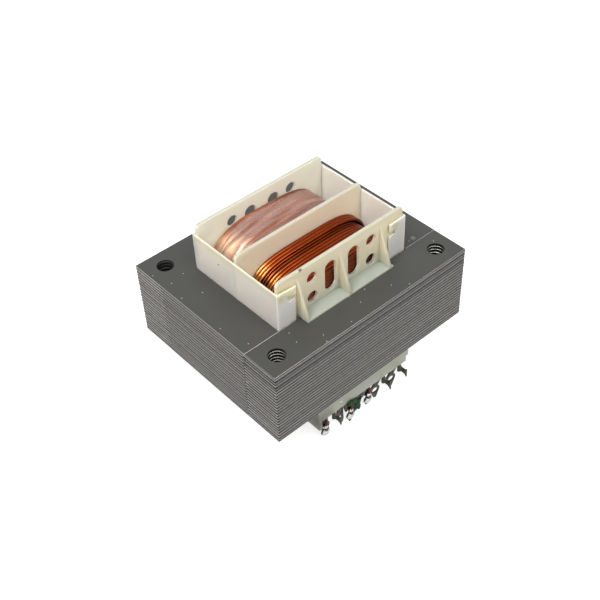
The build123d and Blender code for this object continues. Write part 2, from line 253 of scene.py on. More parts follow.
class WindingSettings(bpy.types.PropertyGroup):
    """Sizes and colours of the two windings."""
    wire: length("Wire", 1.0, "Diameter of the secondary's wire")
    turns: whole("Turns", 14, "Turns of the secondary in one layer", 1)
    raised_turns: whole("Raised turns", 3, "Turns of the secondary's last, short layer", 0)
    lay: length("Lay", 0.9, "How far the secondary's turns lie to the right of the middle")
    fine_wire: length("Fine wire", 0.33, "Pitch of the primary's turns")
    secondary_squareness: plain("Secondary squareness", 4.3, "How square the secondary's turns lie", min=2.0)
    primary_squareness: plain("Primary squareness", 3.5, "How square the primary's turns lie", min=2.0)
    enamel: colour("Enamel", "#913908", "Orange-brown enamel on the secondary's copper")
    fine_enamel: colour("Fine enamel", "#AE6847", "Paler enamel on the primary's fine wire")
    # Painted highlights: paler enamel colours laid on the windings' left bends, where the glints fall
    bend_highlight_enamel: colour("Thin enamel", "#B5733A", "Thin enamel on the secondary's bends")
    bend_highlight_fine_enamel: colour("Thin fine enamel", "#F3D2AC", "Thin enamel on the primary's bends")
    film: colour("Film", "#F3E4DE", "Clear film round the primary")


class TerminalSettings(bpy.types.PropertyGroup):
    """Sizes and colours of the tags, leads and sleeve."""
    tag_radius: length("Tag edge radius", 0.06, "Rounding of the tags' stamped edges")
    strip: length("Strip", 0.5, "Thickness of the tags")
    strand: length("Strand", 0.75, "Diameter of the scraped lead ends at the joints")
    sleeve_wall: length("Sleeve wall", 0.28, "Wall of the green tube")
    tin: colour("Tin", "#57554A", "Dull tin on the tags")
    solder: colour("Solder", "#C9CBC8", "Bright solder")
    flux: colour("Flux", "#17130D", "Burnt rosin in the joints")
    scraped: colour("Scraped copper", "#5E2E16", "Copper and burnt enamel at the ends of the leads")
    sleeve: colour("Sleeve", "#0F4520", "Green insulating tube")


class StageSettings(bpy.types.PropertyGroup):
    """Camera, light and floor."""
    azimuth: angle("Azimuth", -40.396, "Direction of the camera round the part")
    elevation: angle("Elevation", 43.359, "Height of the camera above the horizon")
    roll: angle("Roll", -2.502, "Tilt of the picture")
    distance: length("Distance", 254.1, "From the camera to the point it looks at")
    target_x: length("Target X", -11.0, "X of the point in the middle of the picture, on the core's top")
    target_y: length("Target Y", -11.86, "Y of that point")
    lens: plain("Lens", 61.45, "Focal length on a sensor 36 mm wide", unit="CAMERA")
    floor: colour("Floor", "#A8A8A6", "Pale floor")


GROUPS = {
    "transformer_core": CoreSettings,
    "transformer_bobbin": BobbinSettings,
    "transformer_windings": WindingSettings,
    "transformer_terminals": TerminalSettings,
    "transformer_stage": StageSettings,
}


def add(tree, kind, inputs=None, **settings):
    """Add a node with its settings. Inputs are values, sockets, or nodes whose first output is linked."""
    node = tree.nodes.new(kind)
    for key, value in settings.items():
        setattr(node, key, value)
    for key, value in (inputs or {}).items():
        if isinstance(value, bpy.types.Node):
            value = next(socket for socket in value.outputs if socket.enabled)
        if isinstance(value, bpy.types.NodeSocket):
            tree.links.new(value, node.inputs[key])
        else:
            node.inputs[key].default_value = value
    return node


def new_material(name, **sockets):
    """Material with one surface shader, whose sockets are set here. Returns it with its tree and shader."""
    material = bpy.data.materials.new(name)
    material.use_nodes = True
    shader = material.node_tree.nodes["Principled BSDF"]
    for key, value in sockets.items():
        shader.inputs[key.replace("_", " ").title().replace("Ior", "IOR")].default_value = value
    return material, material.node_tree, shader


def scaled(base, factor):
    """A colour made darker or lighter, with full alpha."""
    return [share * factor for share in base[:3]] + [1.0]


def mottle(tree, shader, patch, detail, low, high):
    """Let the base colour drift between two tones, in patches of a real size. Returns the pattern."""
    place = add(tree, "ShaderNodeTexCoord").outputs["Object"]
    pattern = add(tree, "ShaderNodeTexNoise", {"Vector": place, "Scale": 1 / patch, "Detail": detail})
    tone = add(tree, "ShaderNodeMix", {"Factor": pattern, "A": low, "B": high}, data_type="RGBA")
    tree.links.new(tone.outputs["Result"], shader.inputs["Base Color"])
    return pattern


def streaks_along(tree, place, squeeze, grain, detail):
    """Pattern drawn out along the turns of a winding, with its grain across them."""
    drawn = add(tree, "ShaderNodeVectorMath", {0: place, 1: (squeeze, 1.0, squeeze)}, operation="MULTIPLY")
    return add(tree, "ShaderNodeTexNoise", {"Vector": drawn, "Scale": 1 / grain, "Detail": detail})


def near_points(tree, place, points, reach):
    """Share from 1 at any of the points to 0 at the given reach from them."""
    share = 0.0
    for point in points:
        away = add(tree, "ShaderNodeVectorMath", {0: place, 1: point}, operation="DISTANCE")
        close = add(tree, "ShaderNodeMapRange", {"Value": away, "From Min": reach, "From Max": 0.2 * reach})
        share = add(tree, "ShaderNodeMath", {0: share, 1: close}, operation="MAXIMUM")
    return share


def shape_of(node):
    """The solid of a node as welded faces, with its flat triangles joined."""
    weld = 0.002 * MM
    flat = math.radians(1.5)
    source = frame["nodes"][node].data
    shape = bmesh.new()
    corners = [shape.verts.new(vertex.co) for vertex in source.vertices]
    for polygon in source.polygons:
        shape.faces.new([corners[index] for index in polygon.vertices])
    bmesh.ops.remove_doubles(shape, verts=shape.verts, dist=weld)
    bmesh.ops.dissolve_limit(shape, angle_limit=flat, verts=shape.verts, edges=shape.edges)
    return shape


def new_piece(name, shape, materials, slot, *nodes, sharp=math.radians(50)):
    """Object made from a bmesh, which rides on the part and stands for some of its solids."""
    mesh = bpy.data.meshes.new(name)
    bmesh.ops.recalc_face_normals(shape, faces=shape.faces)
    shape.to_mesh(mesh)
    shape.free()
    for material in materials:
        mesh.materials.append(material)
    mesh.shade_smooth()
    mesh.set_sharp_from_angle(angle=sharp)
    piece = bpy.data.objects.new(name, mesh)
    bpy.context.scene.collection.objects.link(piece)
    return on_part(piece, slot, *nodes)


def on_part(piece, slot, *nodes):
    """Let a piece ride on the part and stand for some solids; its slot is not used."""
    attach(piece, "root")
    if nodes:
        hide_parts(*nodes)
    return piece


def round_edges(piece, radius):
    """Round the sharp edges of a piece."""
    bevel = piece.modifiers.new("rounded_edges", "BEVEL")
    bevel.width = radius
    bevel.segments = 2
    bevel.limit_method = "ANGLE"
    bevel.angle_limit = math.radians(40)
    bevel.harden_normals = True
    bevel.use_clamp_overlap = True


def bridge(shape, first, second, finish=0):
    """Wall of quads between two closed rows of corners, with one finish or one that follows the places."""
    for index in range(len(first)):
        after = (index + 1) % len(first)
        face = shape.faces.new((first[index], first[after], second[after], second[index]))
        face.material_index = finish(first[index].co, first[after].co) if callable(finish) else finish


# Core
def oxide_coat(settings):
    """Silicon steel with a mill oxide and a thin varnish, rolled: dark, satin, a little uneven, dusty."""
    blotch = 9 * MM
    dust_cell = 5.0 * MM
    speck = 0.024
    clean_cells = 0.55
    smudge_reach = 0.9 * MM
    smudge_share = 0.25
    material, tree, shader = new_material("oxide_coated_steel", roughness=0.5, metallic=0.0, ior=1.5)
    place = add(tree, "ShaderNodeTexCoord").outputs["Object"]
    clouds = add(tree, "ShaderNodeTexNoise", {"Vector": place, "Scale": 1 / blotch, "Detail": 4.0})
    tone = add(tree, "ShaderNodeMix", {"Factor": clouds, "A": scaled(settings.coat, 0.86),
                                       "B": scaled(settings.coat, 1.12)}, data_type="RGBA")
    cells = add(tree, "ShaderNodeTexVoronoi", {"Vector": place, "Scale": 1 / dust_cell},
                voronoi_dimensions="2D")
    near = add(tree, "ShaderNodeMath", {0: cells, 1: speck}, operation="LESS_THAN")
    chosen = add(tree, "ShaderNodeSeparateColor", {"Color": cells.outputs["Color"]})
    some = add(tree, "ShaderNodeMath", {0: chosen, 1: clean_cells}, operation="GREATER_THAN")
    dust = add(tree, "ShaderNodeMath", {0: near, 1: some}, operation="MULTIPLY")
    smudge = add(tree, "ShaderNodeMath", {0: near_points(tree, place, SMUDGE, smudge_reach), 1: smudge_share},
                 operation="MULTIPLY")
    pale = add(tree, "ShaderNodeMath", {0: dust, 1: smudge}, operation="MAXIMUM")
    dusty = add(tree, "ShaderNodeMix", {"Factor": pale, "A": tone, "B": settings.dust}, data_type="RGBA")
    tree.links.new(dusty.outputs["Result"], shader.inputs["Base Color"])
    return material


def cut_edge(settings, name, lift):
    """Punched edge of silicon steel: each sheet sheared to a tone of its own, with fine tears along it."""
    tear = 0.9 * MM      # real tears are finer, and wouldn't show
    flattened = (1.0, 1.0, 6.0)
    torn = 0.6
    material, tree, shader = new_material(name, roughness=0.55, metallic=0.3)
    place = add(tree, "ShaderNodeTexCoord").outputs["Object"]
    parts = add(tree, "ShaderNodeSeparateXYZ", {"Vector": place})
    step = add(tree, "ShaderNodeMath", {0: parts.outputs["Z"], 1: 1 / settings.sheet}, operation="MULTIPLY")
    sheet = add(tree, "ShaderNodeMath", {0: step}, operation="FLOOR")
    own = add(tree, "ShaderNodeTexWhiteNoise", {"W": sheet}, noise_dimensions="1D")
    along = add(tree, "ShaderNodeVectorMath", {0: place, 1: flattened}, operation="MULTIPLY")
    tears = add(tree, "ShaderNodeTexNoise", {"Vector": along, "Scale": 1 / tear, "Detail": 4.0})
    spread = add(tree, "ShaderNodeMapRange", {"Value": tears, "From Min": 0.3, "From Max": 0.7})
    both = add(tree, "ShaderNodeMix", {"Factor": torn, "A": own, "B": spread})
    tone = add(tree, "ShaderNodeMix", {"Factor": both, "A": scaled(settings.edge_dark, lift),
                                       "B": scaled(settings.edge_light, lift)}, data_type="RGBA")
    tree.links.new(tone.outputs["Result"], shader.inputs["Base Color"])
    relief = add(tree, "ShaderNodeBump", {"Distance": 0.03 * MM, "Height": tears})
    tree.links.new(relief.outputs["Normal"], shader.inputs["Normal"])
    return material


def hole_wall(settings):
    """Inside of a bolt hole: punched steel, black with oxide, oil and dust."""
    stain = 1.5 * MM
    material, tree, shader = new_material("oily_hole_wall", roughness=0.6, metallic=0.2)
    mottle(tree, shader, stain, 3.0, scaled(settings.hole, 0.4), settings.hole)
    return material


def bare_corner(settings):
    """Steel rubbed bare along the top edge of a sheet: a thin bright line with duller stretches."""
    stretch = 4 * MM
    material, tree, shader = new_material("bare_steel_corner", roughness=0.38, metallic=0.8)
    mottle(tree, shader, stretch, 3.0, settings.edge_light, settings.corner)
    return material


def e_corners(side, inset, limb_inset, chamfer):
    """Corners of an E sheet, counter-clockwise from above, with its yoke at the rear (1) or front (-1)."""
    outer = CORE_HIGH.x - inset - limb_inset
    yoke = BACK - inset
    tips = -(WINDOW_END - inset)
    window_out = CORE_HIGH.x - LIMB + inset
    window_in = LIMB - inset
    root = WINDOW_END + inset
    right = [(window_in, tips), (window_in, root), (window_out, root), (window_out, tips),
             (outer - chamfer, tips), (outer, tips + chamfer), (outer, WINDOW_END - chamfer), (outer, yoke)]
    left = [(-x, y) for x, y in reversed(right)]
    return [(x * side, y * side) for x, y in right + left]


def i_corners(settings, side, inset, chamfer):
    """Corners of an I sheet at the rear (1) or front (-1), worn off at the joints and at the front left."""
    outer = CORE_HIGH.x - settings.i_recess - inset
    near = WINDOW_END + settings.joint_gap + inset
    far = BACK - settings.i_setback - inset

    def half(worn):
        return [(outer - chamfer, near), (outer, near + chamfer), (outer, far - worn), (outer - worn, far)]

    right = half(chamfer if side < 0 else settings.edge_roll)
    left = [(-x, y) for x, y in reversed(half(settings.edge_roll))]
    return [(x * side, y * side) for x, y in right + left]


def hole_corners(centre, radius, steps):
    """Corners round a bolt hole, clockwise."""
    turns = [-2 * math.pi * step / steps for step in range(steps)]
    return [(centre[0] + radius * math.cos(turn), centre[1] + radius * math.sin(turn)) for turn in turns]


COAT, EDGE, CORNER, HOLE, SHADED_EDGE, LIT_YOKE_END, SHADED_I_END = range(7)
SHEET_NODES = {
    "e_rear": "e_laminations_rear_yoke",
    "e_front": "e_laminations_front_yoke",
    "i_front": "i_laminations_front",
    "i_rear": "i_laminations_rear",
}
# Sheets, counted down from the top, that have sprung and leave an open seam, and those whose holes have a
# bright rim
SPRUNG_SHEETS = (3, 7)
RUBBED_HOLES = (2, 4, 6, 8)


def wall_finish(kind, side):
    """Finish of each wall of an E or I sheet: dark where a tip is worn off, a lit copy (painted light) at a
    yoke's ends, shaded copies (painted shade) on edges that lie back and on the I sheets' ends.
    """
    slanted = 0.2

    def finish(start, end):
        across = abs(end.x - start.x)
        along = abs(end.y - start.y)
        if min(across, along) > slanted * max(across, along):
            return HOLE
        lengthwise = along > across
        if lengthwise and abs(start.y + end.y) / 2 > WINDOW_END:
            return LIT_YOKE_END if kind == "e" else SHADED_I_END
        return EDGE if kind == "e" and (side > 0 or not lengthwise) else SHADED_EDGE
    return finish


def lay_sheet(shape, corners, settings, bottom, shift, end, hole_shift, roll, wall, rim, hole_rim):
    """One sheet: corners(inset) gives its outline, wall and rim the finish of its edge and the edge's top."""
    edge = settings.edge_roll
    top = bottom + settings.sheet
    loops = []
    for height, inset in ((bottom, edge), (bottom + edge, 0.0), (top - roll, 0.0), (top, roll)):
        rows = [corners(inset)]
        for x in (-BOLT_X, BOLT_X):
            centre = (x + hole_shift[0], end * BOLT_Y + hole_shift[1])
            rows.append(hole_corners(centre, BOLT_RADIUS + min(inset, edge), settings.hole_steps))
        loops.append([[shape.verts.new((x + shift[0], y + shift[1], height)) for x, y in row]
                      for row in rows])
    for lower, upper, outline, hole in zip(loops, loops[1:], (wall, wall, rim), (HOLE, HOLE, hole_rim)):
        bridge(shape, lower[0], upper[0], outline)
        for first, second in zip(lower[1:], upper[1:]):
            bridge(shape, first, second, hole)
    for rows in (loops[0], loops[-1]):
        edges = [shape.edges.get((row[index], row[index - 1])) for row in rows for index in range(len(row))]
        bmesh.ops.triangle_fill(shape, edges=edges, use_beauty=True)


def lay_core(settings):
    """The whole stack: E and I sheets turned end for end, sheet by sheet, a little out of line."""
    seed = 11
    scatter = 0.4
    draw = random.Random(seed)
    shapes = {key: bmesh.new() for key in SHEET_NODES}
    count = round((CORE_TOP - CORE_BOTTOM) / settings.sheet)
    for number in range(count):
        below_top = count - 1 - number
        side = 1 if number % 2 == 0 else -1
        bottom = CORE_BOTTOM + number * settings.sheet
        sprung = below_top in SPRUNG_SHEETS
        roll = settings.sprung_roll if sprung else settings.edge_roll
        for kind, end in (("e", side), ("i", -side)):
            hole_rim = CORNER if end < 0 and below_top in RUBBED_HOLES else HOLE
            wall = wall_finish(kind, side)
            rim = HOLE if sprung else CORNER if below_top == 0 else wall
            chamfer = settings.tip_chamfer if number and below_top else settings.edge_roll
            shift = [draw.uniform(-1, 1) * settings.stagger for _ in range(2)]
            lean = settings.hole_stagger if kind == "e" else -settings.hole_stagger
            hole_shift = [0.5 * lean + draw.uniform(-scatter, scatter) * settings.hole_stagger
                          for _ in range(2)]

            def corners(inset, kind=kind, end=end, chamfer=chamfer):
                if kind == "e":
                    back = settings.limb_setback if end < 0 else 0.0
                    return e_corners(end, inset + settings.stagger, back, chamfer)
                return i_corners(settings, end, inset, chamfer)

            shape = shapes[f"{kind}_{'rear' if end > 0 else 'front'}"]
            lay_sheet(shape, corners, settings, bottom, shift, end, hole_shift, roll, wall, rim, hole_rim)
    # The plain cut edge, then its shaded and lit copies, which are painted shade and painted light
    materials = [oxide_coat(settings), cut_edge(settings, "rubbed_punched_edge", 1.0),
                 bare_corner(settings), hole_wall(settings),
                 cut_edge(settings, "shaded_punched_edge", settings.dull),
                 cut_edge(settings, "lit_punched_end", settings.bright),
                 cut_edge(settings, "shaded_punched_end", settings.dark)]
    for key, shape in shapes.items():
        new_piece(f"sheets_{key}", shape, materials, "core_steel", SHEET_NODES[key], sharp=math.radians(25))


class TRANSFORMER_OT_core(bpy.types.Operator):
    """Lay the E and I sheets of the core"""
    bl_idname = "transformer.core"
    bl_label = "Lay core"

    def execute(self, context):
        lay_core(context.scene.transformer_core)
        return {"FINISHED"}


# Bobbin and shrouds
def moulded_nylon(name, settings, base, middle, glow, flange_face, upward_grey_share):
    """Natural nylon, moulded: cream and waxy, with painted shade on the outer faces, low over the core and at
    the terminal block's end, a painted copper bounce on the middle flange, greyer on faces that point up,
    yellowed and burnt by soldering.
    """
    cloud = 12 * MM
    grain = 0.5 * MM     # the mould's grain is finer, and wouldn't show
    stain_grain = 2 * MM
    speck_cell = 8 * MM
    speck = 0.03
    rim = SHROUD_HIGH.z
    side = -SHROUD_HIGH.x
    material, tree, shader = new_material(name, roughness=0.4, ior=1.53, subsurface_weight=glow,
                                          subsurface_scale=2.5 * MM)
    shader.inputs["Subsurface Radius"].default_value = (1.0, 0.93, 0.82)
    place = add(tree, "ShaderNodeTexCoord").outputs["Object"]
    x, y, z = add(tree, "ShaderNodeSeparateXYZ", {"Vector": place}).outputs
    normal = add(tree, "ShaderNodeNewGeometry").outputs["Normal"]
    facing = add(tree, "ShaderNodeSeparateXYZ", {"Vector": normal})
    out = add(tree, "ShaderNodeMath", {0: y}, operation="ABSOLUTE")
    clouds = add(tree, "ShaderNodeTexNoise", {"Vector": place, "Scale": 1 / cloud, "Detail": 3.0})
    ragged = add(tree, "ShaderNodeTexNoise", {"Vector": place, "Scale": 1 / stain_grain, "Detail": 2.0})
    fine = add(tree, "ShaderNodeTexNoise", {"Vector": place, "Scale": 1 / grain, "Detail": 2.0})
    cells = add(tree, "ShaderNodeTexVoronoi", {"Vector": place, "Scale": 1 / speck_cell})

    # Where each tone lies: what is measured, where the share is 0, where it is full, and the full share
    ramps = {
        "inner": (out, 2.5 * MM, 1.5 * MM, 1.0),
        "outer": (out, flange_face - 0.5 * MM, flange_face - 0.1 * MM, 1.0),
        "low": (z, CORE_TOP + 5 * MM, CORE_TOP, 1.0),
        "high": (z, CORE_TOP + 6 * MM, CORE_TOP + 7 * MM, 1.0),
        "upward": (facing.outputs["Z"], 0.4, 0.9, upward_grey_share),
        "patchy": (ragged, 0.3, 0.6, 1.0),
        "rim": (z, rim - 2.4 * MM, rim - 1.0 * MM, 0.35),
        "left": (x, side + 0.5 * MM, side + 0.2 * MM, 1.0),
    }
    share = {}
    for key, (measure, start, end, full) in ramps.items():
        share[key] = add(tree, "ShaderNodeMapRange", {"Value": measure, "From Min": start, "From Max": end,
                                                      "To Max": full})
    stained = near_points(tree, place, STAINS, reach=2.6 * MM)
    block_end_shade = near_points(tree, place, BLOCK_END_SHADE_AT, reach=6 * MM)
    burnt = near_points(tree, place, BURNS, reach=0.8 * MM)
    # Painted shade on the outer faces low over the core
    over_core = add(tree, "ShaderNodeMath", {0: share["low"], 1: share["outer"]}, operation="MULTIPLY")
    stain = add(tree, "ShaderNodeMath", {0: stained, 1: share["patchy"]}, operation="MULTIPLY")
    band = add(tree, "ShaderNodeMath", {0: share["rim"], 1: share["left"]}, operation="MULTIPLY")
    yellow = add(tree, "ShaderNodeMath", {0: stain, 1: band}, operation="MAXIMUM")
    small = add(tree, "ShaderNodeMath", {0: cells, 1: speck}, operation="LESS_THAN")
    specks = add(tree, "ShaderNodeMath", {0: small, 1: burnt}, operation="MAXIMUM")
    # Faces that point up: painted shade low over the core, such as the ledges, and a darker grey above
    top = add(tree, "ShaderNodeMix", {"Factor": share["high"], "A": settings.painted_ledge_shade, "B": settings.rubbed},
              data_type="RGBA")
    tone = scaled(base, 0.93)
    # Layers of tone: painted copper bounce on the middle flange, painted shade on the outer faces, low over
    # the core and at the block's end, then the faces that point up, yellowing and specks
    layers = ((clouds, base), (share["inner"], middle), (share["outer"], settings.handled),
              (over_core, settings.shaded), (block_end_shade, settings.painted_block_end_shade), (yellow, settings.yellowing),
              (share["upward"], top), (specks, settings.speck))
    for amount, over in layers:
        tone = add(tree, "ShaderNodeMix", {"Factor": amount, "A": tone, "B": over}, data_type="RGBA")
    tree.links.new(tone.outputs["Result"], shader.inputs["Base Color"])
    relief = add(tree, "ShaderNodeBump", {"Distance": 0.01 * MM, "Height": fine})
    tree.links.new(relief.outputs["Normal"], shader.inputs["Normal"])
    return material


class TRANSFORMER_OT_bobbin(bpy.types.Operator):
    """Mould the bobbin with rounded edges"""
    bl_idname = "transformer.bobbin"
    bl_label = "Mould bobbin"

    def execute(self, context):
        settings = context.scene.transformer_bobbin
        nylon = moulded_nylon("moulded_natural_nylon", settings, settings.nylon, settings.copper_bounce, glow=0.6,
                              flange_face=FLANGE_FACE, upward_grey_share=0.9)
        piece = new_piece("bobbin_moulding", shape_of("bobbin"), [nylon], "nylon", "bobbin")
        round_edges(piece, settings.edge_radius)
        return {"FINISHED"}


def flare_lip(shape, front_y, top, end_x, distance):
    """Spring the free end of a lip's tongue, above its notch, away from the flange."""
    near = 0.1 * MM
    lip = 1 * MM
    for vertex in shape.verts:
        on_tongue = top - vertex.co.z < LATCH_COVER + near and abs(vertex.co.x - end_x) < near
        if on_tongue and abs(vertex.co.y - front_y) < lip:
            vertex.co.y -= distance


class TRANSFORMER_OT_shrouds(bpy.types.Operator):
    """Mould the two thin shrouds beside the windings"""
    bl_idname = "transformer.shrouds"
    bl_label = "Mould shrouds"

    def execute(self, context):
        settings = context.scene.transformer_bobbin
        nylon = moulded_nylon("thin_moulded_nylon", settings, settings.shroud, settings.shroud, glow=1.0,
                              flange_face=2 * FLANGE_FACE, upward_grey_share=0.4)
        for side in ("left", "right"):
            node = f"{side}_shroud"
            low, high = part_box(node)
            shape = shape_of(node)
            flare_lip(shape, low.y, high.z, high.x if side == "left" else low.x, LIP_FLARE[side])
            piece = new_piece(f"{side}_shroud_moulding", shape, [nylon], "shroud_plastic", node)
            round_edges(piece, settings.shroud_radius)
        return {"FINISHED"}


# Windings
def loop_point(turn, half_width, half_height, squareness):
    """Point on a turn of wire wound on a square former: a rectangle with swollen sides and round corners."""
    across = math.cos(turn)
    up = math.sin(turn)
    share = abs(across / half_width) ** squareness + abs(up / half_height) ** squareness
    reach = share ** (-1 / squareness)
    return Vector((reach * across, 0.0, CORE_MIDDLE + reach * up))


def fuller(share, power):
    """A sine or cosine with more weight at its ends, which makes a circle squarer."""
    return math.copysign(abs(share) ** power, share)


def sweep_wire(shape, points, radius, sides=12, fullness=1.0):
    """Wire along a row of points, closed at both ends: round, or fuller where lacquer fills its grooves."""
    rings = []
    for index, point in enumerate(points):
        before = points[max(index - 1, 0)]
        after = points[min(index + 1, len(points) - 1)]
        along = (after - before).normalized()
        side = Vector((0, 1, 0)) - along * along.y
        side.normalize()
        out = side.cross(along)
        ring = []
        for step in range(sides):
            turn = 2 * math.pi * step / sides
            across = fuller(math.cos(turn), fullness)
            up = fuller(math.sin(turn), fullness)
            ring.append(shape.verts.new(point + (side * across + out * up) * radius))
        rings.append(ring)
    for first, second in zip(rings, rings[1:]):
        bridge(shape, first, second)
    shape.faces.new(rings[0])
    shape.faces.new(reversed(rings[-1]))


def painted_bend_highlight(tree, place, tone, thin, top):
    """Tone of a winding's enamel, with painted highlight streaks on the bends of the left shoulder, where the
    glints fall.
    """
    grain = 0.8 * MM
    parts = add(tree, "ShaderNodeSeparateXYZ", {"Vector": place})
    streaks = streaks_along(tree, place, 0.1, grain, 2.0)
    # What is measured, where the share is 0 and where it is full
    ramps = ((parts.outputs["X"], -10.5 * MM, -15 * MM), (parts.outputs["Z"], top - 6.5 * MM, top - 3.5 * MM),
             (streaks, 0.25, 0.6))
    share = 1.0
    for measure, start, end in ramps:
        ramp = add(tree, "ShaderNodeMapRange", {"Value": measure, "From Min": start, "From Max": end})
        share = add(tree, "ShaderNodeMath", {0: share, 1: ramp}, operation="MULTIPLY")
    return add(tree, "ShaderNodeMix", {"Factor": share, "A": tone, "B": thin}, data_type="RGBA")


def enamelled_copper(settings, name):
    """Thick copper wire under glossy enamel: metal under orange-brown lacquer, with a painted highlight on
    the left bends and painted shade in two places.
    """
    streak = 2.5 * MM
    front = SECONDARY_LOW.y
    pitch = (SECONDARY_HIGH.y - front) / settings.turns
    foot = front + (settings.turns - settings.raised_turns - 0.8) * pitch
    material, tree, shader = new_material(name, metallic=1.0, roughness=0.22, coat_weight=0.12,
                                          coat_roughness=0.06, coat_ior=1.6)
    place = add(tree, "ShaderNodeTexCoord").outputs["Object"]
    y = add(tree, "ShaderNodeSeparateXYZ", {"Vector": place}).outputs["Y"]
    streaks = streaks_along(tree, place, 0.15, streak, 3.0)
    tone = add(tree, "ShaderNodeMix", {"Factor": streaks, "A": scaled(settings.enamel, 0.72),
                                       "B": settings.enamel}, data_type="RGBA")
    # Painted highlight laid into the enamel's colour on the left bends
    worn = painted_bend_highlight(tree, place, tone, settings.bend_highlight_enamel, SECONDARY_HIGH.z)

    # Painted shade: darker on the front turns behind the flange and in the step at the foot of the last layer
    front_turn_shade = add(tree, "ShaderNodeMapRange", {"Value": y, "From Min": front + 1.3 * MM,
                                               "From Max": front + 0.7 * MM, "To Max": 0.75})
    from_foot = add(tree, "ShaderNodeMath", {0: y, 1: foot}, operation="SUBTRACT")
    away = add(tree, "ShaderNodeMath", {0: from_foot}, operation="ABSOLUTE")
    valley_shade = add(tree, "ShaderNodeMapRange", {"Value": away, "From Min": pitch, "From Max": 0.6 * pitch,
                                              "To Max": 0.65})
    painted_winding_shade = add(tree, "ShaderNodeMath", {0: front_turn_shade, 1: valley_shade}, operation="MAXIMUM")
    dark = add(tree, "ShaderNodeMix", {"Factor": painted_winding_shade, "A": worn, "B": scaled(settings.enamel, 0.2)},
               data_type="RGBA")
    tree.links.new(dark.outputs["Result"], shader.inputs["Base Color"])
    return material


def wind_secondary(settings):
    """The secondary as real turns: the outer layer, the short last one and the inner ones' front turns."""
    steps = 110
    crossing = 0.9       # share of a turn after which the wire crosses to the next
    play = 0.985         # keeps neighbouring turns from touching
    inner_layers = range(2, 7)
    inner_turns = 2
    shape = bmesh.new()
    radius = settings.wire / 2
    front = SECONDARY_LOW.y
    pitch = (SECONDARY_HIGH.y - front) / settings.turns
    half_width = SECONDARY_HIGH.x - radius
    half_height = (SECONDARY_HIGH.z - SECONDARY_LOW.z) / 2 - radius

    def wind(first_y, turns, drop):
        points = []
        for step in range(turns * steps + 1):
            turn = 2 * math.pi * step / steps - math.pi / 2
            done = step / steps
            share = done - math.floor(done)
            cross = max(0.0, (share - crossing) / (1 - crossing))
            along = first_y + (math.floor(done) + cross * cross * (3 - 2 * cross)) * pitch
            point = loop_point(turn, half_width - drop, half_height - drop, settings.secondary_squareness)
            points.append(Vector((point.x + settings.lay, along, point.z)))
        sweep_wire(shape, points, radius * play, sides=16, fullness=0.85)

    first = front + pitch / 2
    raised_first = front + (settings.turns - settings.raised_turns + 0.5) * pitch
    wind(raised_first, settings.raised_turns, 0.0)
    wind(first, settings.turns, settings.wire)
    for layer in inner_layers:
        wind(first, inner_turns, settings.wire * layer)
    copper = enamelled_copper(settings, "enamelled_copper_wire")
    new_piece("secondary_turns", shape, [copper], "secondary_copper", "secondary_winding")


class TRANSFORMER_OT_secondary(bpy.types.Operator):
    """Wind the thick secondary"""
    bl_idname = "transformer.secondary"
    bl_label = "Wind secondary"

    def execute(self, context):
        wind_secondary(context.scene.transformer_windings)
        return {"FINISHED"}


def fine_copper(settings, name):
    """Fine copper wire with pale enamel: a silky surface whose turns differ a little in tone, with a painted
    highlight on the left bends.
    """
    streak = 0.8 * MM    # wider than one turn, which wouldn't show
    material, tree, shader = new_material(name, metallic=0.9, roughness=0.3, coat_weight=0.4,
                                          coat_roughness=0.1)
    place = add(tree, "ShaderNodeTexCoord").outputs["Object"]
    streaks = streaks_along(tree, place, 0.03, streak, 4.0)
    spread = add(tree, "ShaderNodeMapRange", {"Value": streaks, "From Min": 0.35, "From Max": 0.65})
    tone = add(tree, "ShaderNodeMix", {"Factor": spread, "A": scaled(settings.fine_enamel, 0.5),
                                       "B": settings.fine_enamel}, data_type="RGBA")
    # Painted highlight laid into the enamel's colour on the left bends
    worn = painted_bend_highlight(tree, place, tone, settings.bend_highlight_fine_enamel, PRIMARY_HIGH.z)
    tree.links.new(worn.outputs["Result"], shader.inputs["Base Color"])
    return material


def clear_film(settings):
    """Clear polyester film, wrapped tight: thin haze, hard gloss and fine creases along the turns."""
    crease = 2.2 * MM
    material, tree, shader = new_material("clear_polyester_film", roughness=0.13, ior=1.6)
    shader.inputs["Base Color"].default_value = settings.film
    place = add(tree, "ShaderNodeTexCoord").outputs["Object"]
    creases = streaks_along(tree, place, 0.22, crease, 4.0)
    haze = add(tree, "ShaderNodeMapRange", {"Value": creases, "From Min": 0.3, "From Max": 0.7,
                                            "To Min": 0.02, "To Max": 0.1})
    tree.links.new(haze.outputs["Result"], shader.inputs["Alpha"])
    relief = add(tree, "ShaderNodeBump", {"Distance": 0.12 * MM, "Height": creases})
    tree.links.new(relief.outputs["Normal"], shader.inputs["Normal"])
    return material


def wound_band(shape, profile, half_width, half_height, squareness, wander):
    """Closed band round the former: profile is a closed row of (y, rise), and wander(turn, y) shifts it."""
    steps = 160
    rows = []
    for step in range(steps):
        turn = 2 * math.pi * step / steps
        row = []
        for y, rise in profile:
            shift, swell = wander(turn, y)
            point = loop_point(turn, half_width + rise + swell, half_height + rise + swell, squareness)
            row.append(shape.verts.new((point.x, y + shift, point.z)))
        rows.append(row)
    for step in range(steps):
        bridge(shape, rows[step - 1], rows[step])


